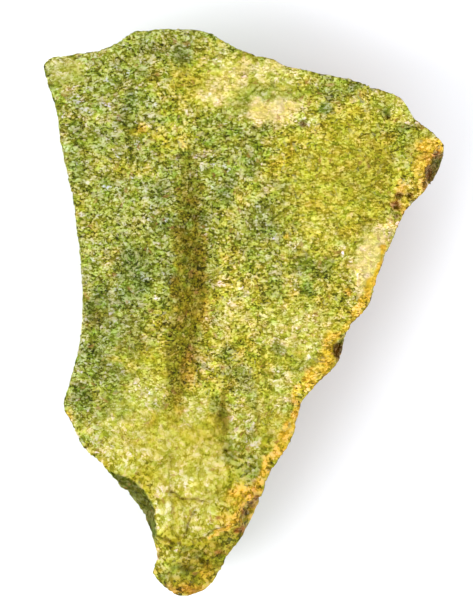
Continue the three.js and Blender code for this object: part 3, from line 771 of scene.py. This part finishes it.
def outline_curve():
    """Points of a smooth closed curve through the outline, one row to a point."""
    outline = np.array(OUTLINE)
    before, start, end, after = (np.roll(outline, shift, axis=0) for shift in (1, 0, -1, -2))
    steps = []
    for t in np.arange(OUTLINE_STEPS) / OUTLINE_STEPS:
        bend = 2 * before - 5 * start + 4 * end - after
        twist = 3 * start - before - 3 * end + after
        steps.append(start + 0.5 * t * ((end - before) + t * (bend + t * twist)))
    return np.stack(steps, axis=1).reshape(-1, 2)


def fitted_to_outline(points):
    """The points moved sideways, so that the stone seen from above reaches its outline all round."""
    curve = outline_curve()
    along = np.roll(curve, -1, axis=0) - np.roll(curve, 1, axis=0)
    outward = np.stack([-along[:, 1], along[:, 0]], axis=1) / np.hypot(*along.T)[:, None]
    tree = KDTree(len(curve))
    for n, place in enumerate(curve):
        tree.insert((*place, 0), n)
    tree.balance()
    nearest = np.array([tree.find((x, y, 0))[1] for x, y, _ in points])
    beyond = np.sum((points[:, :2] - curve[nearest]) * outward[nearest], axis=1)
    reach = np.full(len(curve), -OUTLINE_REACH)
    np.maximum.at(reach, nearest, beyond)
    reach = np.maximum(reach, 0.5 * np.roll(reach, 1) + 0.5 * np.roll(reach, -1))
    reach = 0.5 * reach + 0.25 * np.roll(reach, 1) + 0.25 * np.roll(reach, -1) - EDGE_GRAIN
    share = ease((beyond + OUTLINE_REACH) / (OUTLINE_REACH - OUTLINE_HOLD))
    moved = points.copy()
    moved[:, :2] -= outward[nearest] * (reach[nearest] * share)[:, None]
    return moved


def face_share(mesh, points, least_rise):
    """One on the broad face and nothing on the walls. A wall's normals have a z below the least rise."""
    rise = vertex_normals(mesh)[:, 2]
    return ease((rise - least_rise) / 0.25) * ease((points[:, 2] - WALL_TOP) / 3)


def settled(mesh):
    """The mesh's points in mm, after its edges and broad face are evened and its outline is fitted."""
    points = mm_points(mesh)
    off_floor = ease(points[:, 2] / FLOOR_HOLD)
    points = evened(mesh, points, EDGE_SMOOTHING, np.outer(off_floor, (1, 1, 1)))
    points = fitted_to_outline(fitted_to_outline(points))
    set_points(mesh, points)
    face = face_share(mesh, points, SMOOTHED_RISE)
    points = evened(mesh, points, FACE_SMOOTHING, np.outer(face, (0, 0, 1)))
    set_points(mesh, points)
    return points


def raised(points, normals, up, depth, scar_green):
    """The points after the relief: grains on the face, hackles on the walls, pits, cracks and ledges."""
    height, length, seed = SWELLS
    grain = up * layered(points, FACE_GRAINS) * (1 - SCAR_SMOOTHNESS * (up * scar_green))
    hackle = (1 - up) * layered(points, WALL_HACKLES)
    relief = grain + height * perlin(points, length, seed) + hackle
    z = points[:, 2]
    lift = (relief - up * depth) * ease(z / RELIEF_FOOT)
    moved = points + normals * lift[:, None] * RELIEF_STRENGTH
    moved[:, 2] = np.where(z < SOLE, moved[:, 2] * ease(z / SOLE), moved[:, 2])
    return moved


def southward(y, start, length):
    """Nothing north of the start, and one from the given length south of it."""
    return ease((start - y) / length)


def stone_masks(points, shifts, up, painted_shade, scar_shade, scar_green):
    """How strongly each colour shows at each point, and where the grains are calm or coarse."""
    near = ragged(points, shifts, EDGE_WANDER)
    band = ragged(points, shifts, BAND_WANDER)
    wide = ragged(points, shifts, PATCH_WANDER)
    face = {
        name: patch_mask(*(near if name in SHARP_PATCHES else wide), rows) for name, rows in PATCHES.items()
    }
    face["yellow"] = np.maximum(face["yellow"], SOUTH_YELLOW * southward(wide[1], *YELLOW_SOUTH))
    face["green"] = np.maximum(face["green"], scar_green)
    # The groove's band paints shade in olive down the long groove.
    face["olive"] = np.maximum.reduce([face["olive"], groove_shade_mask(*band), SCAR_OLIVE * scar_green])
    face["gold"] = np.maximum(face["gold"], RIM_GOLD * rim_mask(*band)) * (1 - scar_shade)
    # The cracks' brown follows the shade painted in them; the shade mask takes the painted shade of the
    # bowls, pits and cracks.
    face["brown"] = np.maximum(face["brown"], CRACK_BROWN * painted_shade)
    face["shade"] = np.maximum.reduce([face["shade"], scar_shade, painted_shade])
    face["calm"] = np.maximum(SCAR_CALM * (up * scar_green), patch_mask(*wide, CALM_PATCHES))
    face["coarse"] = southward(points[:, 1], *COARSE_SOUTH)
    masks = {name: up * mask for name, mask in face.items()}

    wall = 1 - up
    east = RIND_TO_EAST * points[:, 0]
    masks["green"] = np.maximum(masks["green"], WALL_GREEN * wall * ease(perlin(points, 6, 31)))
    masks["rind"] = wall * ease(0.5 + 1.4 * perlin(points, 9, 29) + east)
    return masks


def add_mask(mesh, name, values):
    mask = mesh.attributes.new(name, "FLOAT", "POINT")
    mask.data.foreach_set("value", np.clip(values, 0, 1).astype(np.float32))


def roughen(piece, low, high):
    """Gives the mesh its fine relief and its masks. It stays between the corners low and high."""
    mesh = piece.data
    points = settled(mesh)
    up = face_share(mesh, points, COLOURED_RISE)
    shifts = np.stack([wander(points, (3, 5)), wander(points, (7, 11))])
    # Besides their depth, the pits and cracks give the shade painted in them.
    depth, painted_shade = carve(*ragged(points, shifts, CRACK_WANDER), crack_widths(points))
    depth += ledge_depth(*ragged(points, shifts, EDGE_WANDER))
    scar_shade, scar_green = scar_masks(*ragged(points, shifts, EDGE_WANDER))
    moved = raised(points, vertex_normals(mesh), up, depth, scar_green)
    set_points(mesh, np.clip(moved, low / MM, high / MM))
    for name, values in stone_masks(points, shifts, up, painted_shade, scar_shade, scar_green).items():
        add_mask(mesh, name, values)


class Value:
    """A number in a material's tree. It can be added, subtracted and multiplied like any other."""

    def __init__(self, nodes, socket):
        self.nodes = nodes
        self.socket = socket

    def __add__(self, other):
        return self.nodes.math("ADD", self, other)

    def __sub__(self, other):
        return self.nodes.math("SUBTRACT", self, other)

    def __rsub__(self, other):
        return self.nodes.math("SUBTRACT", other, self)

    def __mul__(self, other):
        return self.nodes.math("MULTIPLY", self, other)

    __radd__ = __add__
    __rmul__ = __mul__

    def power(self, exponent):
        return self.nodes.math("POWER", self, exponent)

    def at_least(self, other):
        return self.nodes.math("MAXIMUM", self, other)

    def above(self, level):
        """One where the value is above the level, and nothing elsewhere."""
        return self.nodes.math("GREATER_THAN", self, level)

    def swing(self, size):
        """The value's distance from one half, times the size."""
        return (self - 0.5) * size

    def clamped(self):
        """The same value, held between 0 and 1."""
        self.socket.node.use_clamp = True
        return self


class Nodes:
    """Short ways to add nodes to a material's tree."""

    def __init__(self, tree):
        self.tree = tree
        self.place = self.add("ShaderNodeTexCoord").outputs["Object"]

    def add(self, kind, settings=None, **inputs):
        node = self.tree.nodes.new(kind)
        for name, value in (settings or {}).items():
            setattr(node, name, value)
        for name, value in inputs.items():
            self.feed(node.inputs[name], value)
        return node

    def feed(self, socket, value):
        """Links a value or another socket to the socket, or gives it a number."""
        if isinstance(value, Value):
            value = value.socket
        if isinstance(value, bpy.types.NodeSocket):
            self.tree.links.new(value, socket)
        else:
            socket.default_value = value

    def math(self, operation, a, b=0.0):
        node = self.add("ShaderNodeMath", {"operation": operation})
        self.feed(node.inputs[0], a)
        self.feed(node.inputs[1], b)
        return Value(self, node.outputs[0])

    def vector_math(self, operation, a, b, socket=1):
        node = self.add("ShaderNodeVectorMath", {"operation": operation})
        self.feed(node.inputs[0], a)
        self.feed(node.inputs[socket], b)
        return node.outputs[0]

    def mix(self, share, a, b, blend="MIX"):
        """Colour a with the given share of colour b."""
        node = self.add("ShaderNodeMix", {"data_type": "RGBA", "blend_type": blend})
        self.feed(node.inputs[0], share)
        self.feed(node.inputs[6], a)
        self.feed(node.inputs[7], b)
        return node.outputs[2]

    def blended(self, share, a, b):
        """Number a with the given share of number b."""
        node = self.add("ShaderNodeMix", {"data_type": "FLOAT"})
        self.feed(node.inputs[0], share)
        self.feed(node.inputs[2], a)
        self.feed(node.inputs[3], b)
        return Value(self, node.outputs[0])

    def mask(self, name):
        node = self.add("ShaderNodeAttribute", {"attribute_name": name, "attribute_type": "GEOMETRY"})
        return Value(self, node.outputs["Fac"])

    def stretched(self, stretch, length_mm, at):
        """Places in cells of the given length, packed more tightly along an axis by its stretch."""
        mapping = self.add("ShaderNodeMapping", {"vector_type": "POINT"}, Vector=at)
        mapping.inputs["Scale"].default_value = [s / (length_mm * MM) for s in stretch]
        return mapping.outputs["Vector"]

    def clouds(self, stretch, length_mm, detail, at):
        """The colour of a soft noise."""
        node = self.add("ShaderNodeTexNoise", Vector=self.stretched(stretch, length_mm, at))
        node.inputs["Scale"].default_value = 1.0
        node.inputs["Detail"].default_value = detail
        node.inputs["Roughness"].default_value = 0.6
        return node.outputs["Color"]

    def grains(self, stretch, length_mm, wobble, at, feature="F1"):
        """Cells of stone grains with ragged edges."""
        noise_colour = self.clouds(stretch, 1.2 * length_mm, 4.0, at)
        shift = self.vector_math("SCALE", noise_colour, wobble, "Scale")
        place = self.vector_math("ADD", self.stretched(stretch, length_mm, at), shift)
        cells = self.add("ShaderNodeTexVoronoi", {"feature": feature}, Vector=place)
        cells.inputs["Scale"].default_value = 1.0
        return cells

    def grain_gaps(self, stretch, length_mm, wobble, at):
        """How far each place is from the edge of its grain, as a share of the grain."""
        cells = self.grains(stretch, length_mm, wobble, at, "DISTANCE_TO_EDGE")
        return Value(self, cells.outputs["Distance"])

    def shares(self, colour):
        """The three parts of a colour, as values of about 0 to 1."""
        node = self.add("ShaderNodeSeparateColor", Color=colour)
        return [Value(self, part) for part in node.outputs]

    def grain_shares(self, stretch, length_mm, wobble, at):
        """Three random values for each grain."""
        return self.shares(self.grains(stretch, length_mm, wobble, at).outputs["Color"])


class Pattern:
    """The masks and noises from which the nephrite's tone and colours are worked out."""

    def __init__(self, n):
        self.calm = n.mask("calm")
        self.coarse = n.mask("coarse")
        self.tan = n.mask("tan")
        self.shade = n.mask("shade")

        # The grains lie along bundles of fibres, whose direction changes from one bundle to the next
        bundles = n.grain_shares(EVEN, BUNDLE, 1.0, n.place)
        turned = n.add("ShaderNodeVectorRotate", {"rotation_type": "Z_AXIS"}, Vector=n.place)
        n.feed(turned.inputs["Angle"], bundles[0].swing(3.0) + 0.3)
        fibres = turned.outputs["Vector"]
        fine = n.grain_shares(WIDE, FINE_GRAIN, 1.0, n.place)
        coarser = n.grain_shares(EVEN, COARSE_GRAIN, 1.6, n.place)
        self.fine = n.blended(self.coarse, fine[0], coarser[0])
        self.grains = n.grain_shares(WIDE, GRAIN, 2.2, fibres)
        self.gaps = n.grain_gaps(WIDE, GRAIN, 2.2, fibres)
        self.flecks = n.grain_shares(LONG, FLECK, 2.6, fibres)
        self.facets = n.grain_shares(TALL, FACET, 1.2, n.place)
        self.seams = n.grain_gaps(TALL, FACET, 1.2, n.place)
        self.cloudy = n.shares(n.clouds(WIDE, CLOUD, 2.0, n.place))
        self.broad = n.shares(n.clouds(EVEN, BROAD_CLOUD, 3.0, n.place))
        self.evenness = (1.0 - self.calm * 0.6) * (1.0 - self.tan * 0.3)


def grain_tone(pattern):
    """How much lighter or darker a grain is than the rest, with shade painted in the gaps between some
    grains.
    """
    # gap is the shade painted in the crevices between grains
    gap = ((CREVICE_SHADE_WIDTH - pattern.gaps) * 6.0).clamped() * pattern.grains[1].above(1 - SHADED_GAP_SHARE)
    return (pattern.fine.swing(0.80) + pattern.grains[0].swing(0.40) - gap * 0.36) * pattern.evenness


def lightness_step(pattern, tone):
    """The stone's lightness in even steps to the eye, about 1. Light grains are held back a little."""
    clouds = (pattern.cloudy[0].swing(0.46) + pattern.broad[0].swing(0.20)) * (1.0 - pattern.calm * 0.5)
    seam = ((SEAM_WIDTH - pattern.seams) * 20.0).clamped() * pattern.coarse
    tone = tone + clouds - seam * 0.14 + pattern.coarse * pattern.facets[0].swing(0.12)
    over = tone.at_least(0.0)
    tone = tone - over * over * (0.5 + pattern.coarse * 1.5)
    return (tone + (1.05 + pattern.coarse * 0.01)).at_least(0.3)


def grain_tint(n, pattern, step):
    """The factors for red, green and blue that make a grain lighter, warmer or cooler."""
    tinted = 1.0 - pattern.calm * 0.5
    lightness = step.power(EYE_GAMMA)
    warm = pattern.cloudy[1].swing(0.75) + pattern.broad[1].swing(0.3)
    warm = warm + (pattern.grains[2].swing(0.24) + pattern.cloudy[2].swing(0.25))
    warmth = warm * tinted + (1.0 + pattern.coarse * 0.03)
    cool = pattern.cloudy[2].swing(3.3) + pattern.broad[2].swing(0.4)
    cool = cool + (pattern.grains[2].swing(1.5) - 0.25)
    coolness = n.math("EXPONENT", cool * tinted)
    blue_gamma = (6.4 + pattern.coarse * 1.8) - pattern.tan * 3.0
    tint = n.add("ShaderNodeCombineColor")
    n.feed(tint.inputs[0], lightness * warmth)
    n.feed(tint.inputs[1], lightness)
    n.feed(tint.inputs[2], step.power(blue_gamma) * coolness)
    return tint.outputs[0]


def patch_shares(n, pattern):
    """How much of each colour shows, in mottled patches."""
    mottle = (0.35 + pattern.cloudy[1] * 1.3) + pattern.calm * 0.5
    return {name: (n.mask(name) * mottle).clamped() for name in COLOURS}


def ground_colour(n, pattern, shares):
    """The stone's colour before its grains, with the shaded places darker."""
    ground = BASE_COLOUR
    for name, colour in COLOURS.items():
        ground = n.mix(shares[name], ground, colour)
    return n.mix(pattern.shade, ground, n.mix(1.0, ground, SHADE_FACTOR, "MULTIPLY"))


def flecked(n, pattern, colour, tone, shares):
    """The colour with cream on the lightest grains and a painted glint of cream on a few flecks, except in
    olive and rusty places, and rusty flecks.
    """
    # Painted highlights: a few flecks get a glint of cream.
    painted_glints = pattern.flecks[0].above(1 - PAINTED_GLINT_SHARE) * (pattern.evenness * pattern.evenness)
    bright = (tone * (pattern.cloudy[2] * 1.2)).clamped()
    fresh = 1.0 - shares["olive"].at_least(shares["rind"] * 0.7)
    cream = ((painted_glints * 0.45).at_least(bright) * (fresh - pattern.coarse * 0.3)).clamped()
    colour = n.mix(cream, colour, CREAM_COLOUR)
    return n.mix(pattern.flecks[1].above(1 - RUST_SHARE) * 0.5, colour, RUST_COLOUR)


def nephrite_material():
    material = bpy.data.materials.new("nephrite")
    material.use_nodes = True
    tree = material.node_tree
    tree.nodes.clear()
    n = Nodes(tree)
    pattern = Pattern(n)
    tone = grain_tone(pattern)
    tint = grain_tint(n, pattern, lightness_step(pattern, tone))
    shares = patch_shares(n, pattern)
    colour = n.mix(1.0, ground_colour(n, pattern, shares), tint, "MULTIPLY")

    bump = n.add("ShaderNodeBump", Height=pattern.fine + pattern.grains[0])
    bump.inputs["Strength"].default_value = 0.55
    bump.inputs["Distance"].default_value = 0.16 * MM

    shader = n.add("ShaderNodeBsdfPrincipled", Normal=bump.outputs["Normal"])
    n.feed(shader.inputs["Base Color"], flecked(n, pattern, colour, tone, shares))
    n.feed(shader.inputs["Roughness"], 0.45 + pattern.grains[2] * 0.3)
    dull = pattern.shade.at_least(n.mask("rind"))
    n.feed(shader.inputs["Specular IOR Level"], (1.0 - dull) * 0.1)
    n.add("ShaderNodeOutputMaterial", Surface=shader.outputs["BSDF"])
    return material


def stone(cad):
    piece = surface_mesh(cad)
    roughen(piece, *(np.array(corner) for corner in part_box("nephrite_slab")))
    piece.data.materials.clear()
    piece.data.materials.append(nephrite_material())
    piece.data.shade_smooth()
    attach(piece, "root")
    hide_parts("nephrite_slab")


def floor():
    half = 1.5
    corners = [(-half, -half, 0), (half, -half, 0), (half, half, 0), (-half, half, 0)]
    mesh = bpy.data.meshes.new("floor")
    mesh.from_pydata(corners, [], [(0, 1, 2, 3)])
    plane = bpy.data.objects.new("floor", mesh)
    bpy.context.scene.collection.objects.link(plane)
    paper = bpy.data.materials.new("white_paper")
    paper.use_nodes = True
    shader = paper.node_tree.nodes["Principled BSDF"]
    shader.inputs["Base Color"].default_value = PAPER_COLOUR
    shader.inputs["Roughness"].default_value = 0.9
    shader.inputs["Specular IOR Level"].default_value = 0.1
    mesh.materials.append(paper)


def area_light(name, azimuth, elevation, distance, size, power):
    """A round soft light that looks at the stone. Azimuth turns from +X towards +Y."""
    data = bpy.data.lights.new(name, "AREA")
    data.shape = "DISK"
    data.size = size
    data.energy = power
    light = bpy.data.objects.new(name, data)
    across = math.cos(math.radians(elevation)) * distance
    light.location = (
        across * math.cos(math.radians(azimuth)),
        across * math.sin(math.radians(azimuth)),
        math.sin(math.radians(elevation)) * distance,
    )
    light.rotation_euler = Vector(light.location).to_track_quat("Z", "Y").to_euler()
    bpy.context.scene.collection.objects.link(light)


def lights():
    world = bpy.data.worlds.new("studio")
    world.use_nodes = True
    background = world.node_tree.nodes["Background"]
    background.inputs["Color"].default_value = (1, 1, 1, 1)
    background.inputs["Strength"].default_value = 1.33
    bpy.context.scene.world = world
    area_light("key", azimuth=205, elevation=48, distance=0.9, size=0.6, power=4.2)
    bpy.context.scene.view_settings.view_transform = "Standard"


def camera():
    """Straight above, framed as the photograph is."""
    data = bpy.data.cameras.new("camera")
    data.sensor_fit = "VERTICAL"
    data.sensor_height = 24
    data.lens = data.sensor_height * CAMERA_DISTANCE / FRAME_HEIGHT
    data.clip_end = 10
    eye = bpy.data.objects.new("camera", data)
    eye.location = (*FRAME_MIDDLE, CAMERA_LEVEL + CAMERA_DISTANCE)
    bpy.context.scene.collection.objects.link(eye)
    bpy.context.scene.camera = eye


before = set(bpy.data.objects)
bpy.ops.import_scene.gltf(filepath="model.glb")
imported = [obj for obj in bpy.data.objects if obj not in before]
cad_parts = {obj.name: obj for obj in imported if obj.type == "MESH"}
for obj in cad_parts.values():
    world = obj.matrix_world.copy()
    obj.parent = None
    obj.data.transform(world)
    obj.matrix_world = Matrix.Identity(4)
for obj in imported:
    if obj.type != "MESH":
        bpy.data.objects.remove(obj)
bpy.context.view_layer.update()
stone(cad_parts["nephrite_slab"])
floor()
lights()
camera()
